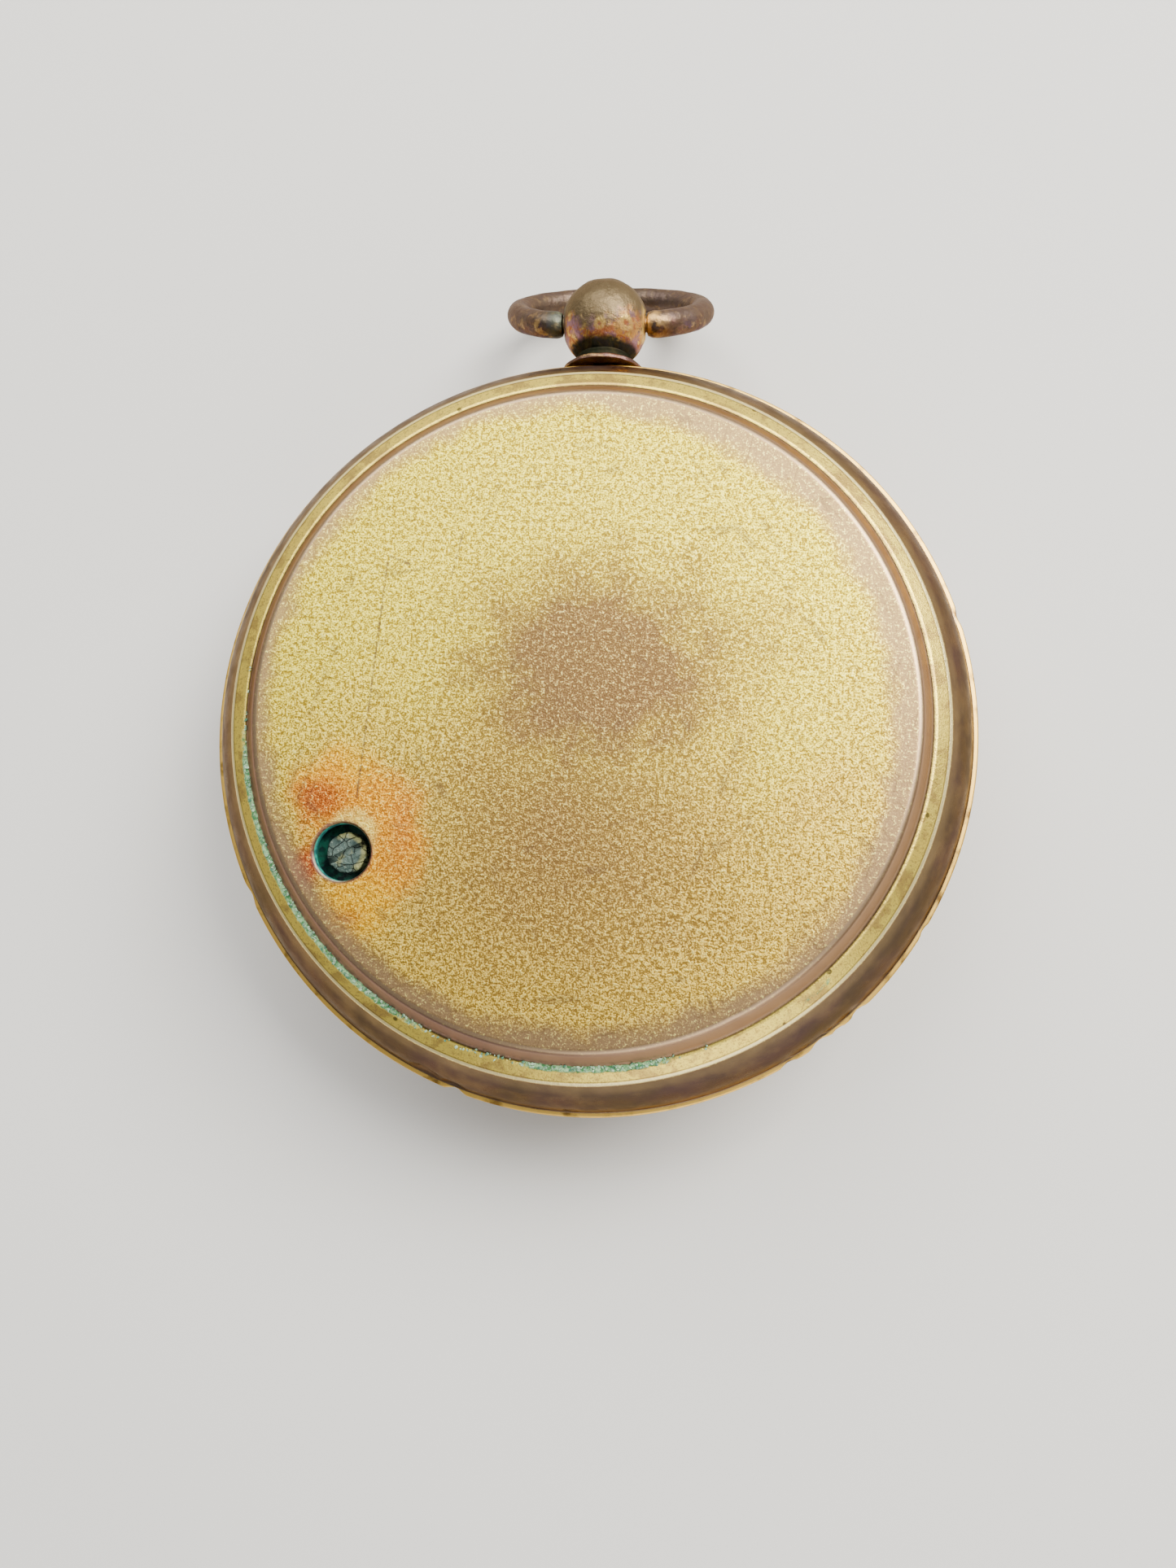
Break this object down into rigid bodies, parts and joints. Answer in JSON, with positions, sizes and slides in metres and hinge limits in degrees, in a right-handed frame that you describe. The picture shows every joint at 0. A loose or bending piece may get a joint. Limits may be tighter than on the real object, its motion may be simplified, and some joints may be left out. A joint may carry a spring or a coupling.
{
  "type": "pocket aneroid barometer",
  "caption": "Watch-form pocket aneroid barometer: gilt-brass case with sprung back and access hole, ball pendant, swinging bow, bevelled crystal, dial and aneroid movement.",
  "frame": {"origin": "centre of the flat back face", "axes": "+Z out of the back, along the case axis; +Y towards the pendant and bow; +X completes the frame"},
  "size_m": [0.05, 0.0612, 0.0173],
  "materials": {
    "gilt_brass": "frosted gilt, worn and stained",
    "tarnished_brass": "tarnished gilt",
    "movement_brass": "fine-grained lacquered brass",
    "steel": "polished",
    "blued_steel": "blued",
    "corroded_steel": "corroded",
    "nickel_silver": "satin, corrugated",
    "silvered_dial": "silvered, matt, engraved scale",
    "glass": "clear, bevelled"
  },
  "bodies": {
    "case": {"back_cover": "gilt_brass", "case_middle": "gilt_brass", "bezel": "gilt_brass", "crystal": "glass", "pendant_collar": "tarnished_brass", "pendant_ball": "tarnished_brass", "pendant_nut": "movement_brass", "base_plate": "movement_brass", "base_screw_1": "steel", "base_screw_2": "steel", "base_screw_3": "steel", "dial_pillar_1": "movement_brass", "dial_pillar_2": "movement_brass", "dial_pillar_3": "movement_brass", "dial": "silvered_dial", "dial_screw_1": "blued_steel", "dial_screw_2": "blued_steel", "dial_screw_3": "blued_steel", "capsule_lower": "nickel_silver", "capsule_upper": "nickel_silver", "capsule_stud": "movement_brass", "capsule_nut": "movement_brass", "bridge": "steel", "bridge_pivot_screw_1": "steel", "bridge_pivot_screw_2": "steel", "mainspring": "blued_steel", "spring_screw_1": "blued_steel", "spring_screw_2": "blued_steel", "rocker_post_1": "movement_brass", "rocker_post_2": "movement_brass", "hairspring": "blued_steel", "hairspring_stud": "movement_brass", "top_plate": "movement_brass", "lower_cock": "movement_brass", "top_pillar_1": "movement_brass", "top_pillar_2": "movement_brass", "top_screw_1": "blued_steel", "top_screw_2": "blued_steel", "pillar_foot_screw_1": "steel", "pillar_foot_screw_2": "steel"},
    "bow": {"bow": "tarnished_brass"},
    "adjusting_screw": {"adjusting_screw": "corroded_steel"},
    "hand": {"pointer_arbor": "steel", "pointer": "blued_steel"},
    "rocker": {"rocker": "steel"},
    "lever": {"main_lever": "movement_brass", "lever_screw_1": "steel", "lever_screw_2": "steel"},
    "capsule_post": {"capsule_post": "steel", "knife_pin": "steel"},
    "link": {"link": "steel"},
    "chain": {"chain": "steel"}
  },
  "joints": [
    {"name": "bow_swing", "type": "hinge", "parent": "case", "child": "bow", "pos_m": [0, 0.02885, -0.0078], "axis": [1, 0, 0], "range_deg": [-42, 177]},
    {"name": "adjusting_screw_turn", "type": "hinge", "parent": "case", "child": "adjusting_screw", "pos_m": [-0.01425, -0.00897, -0.002], "axis": [0, 0, 1], "range_deg": [-360, 360]},
    {"name": "hand_turn", "type": "hinge", "parent": "case", "child": "hand", "pos_m": [0, 0, -0.0143], "axis": [0, 0, 1], "range_deg": [-120, 120]},
    {"name": "rocker_turn", "type": "hinge", "parent": "case", "child": "rocker", "pos_m": [-0.01286, -0.0081, -0.0074], "axis": [0.5329, -0.8462, 0], "range_deg": [-24, 24]},
    {"name": "lever_swing", "type": "hinge", "parent": "case", "child": "lever", "pos_m": [0.01337, 0.00842, -0.00915], "axis": [0.5329, -0.8462, 0], "range_deg": [-0.8, 0.8]},
    {"name": "capsule_travel", "type": "slide", "parent": "case", "child": "capsule_post", "axis": [0, 0, 1], "range_m": [-0.00022, 0.00022]},
    {"name": "link_rise", "type": "slide", "parent": "case", "child": "link", "axis": [0, 0, 1], "range_m": [-0.00042, 0.00042]},
    {"name": "chain_pull", "type": "slide", "parent": "case", "child": "chain", "axis": [-0.8462, -0.5329, 0], "range_m": [-0.00165, 0.00165]}
  ],
  "couplings": [
    {"joint": "rocker_turn", "follows": "hand_turn", "ratio": 0.19623},
    {"joint": "lever_swing", "follows": "hand_turn", "ratio": -0.0065409},
    {"joint": "capsule_travel", "follows": "hand_turn", "m_per_rad": 0.00010335},
    {"joint": "link_rise", "follows": "hand_turn", "m_per_rad": 0.00019623},
    {"joint": "chain_pull", "follows": "hand_turn", "m_per_rad": -0.00078}
  ]
}
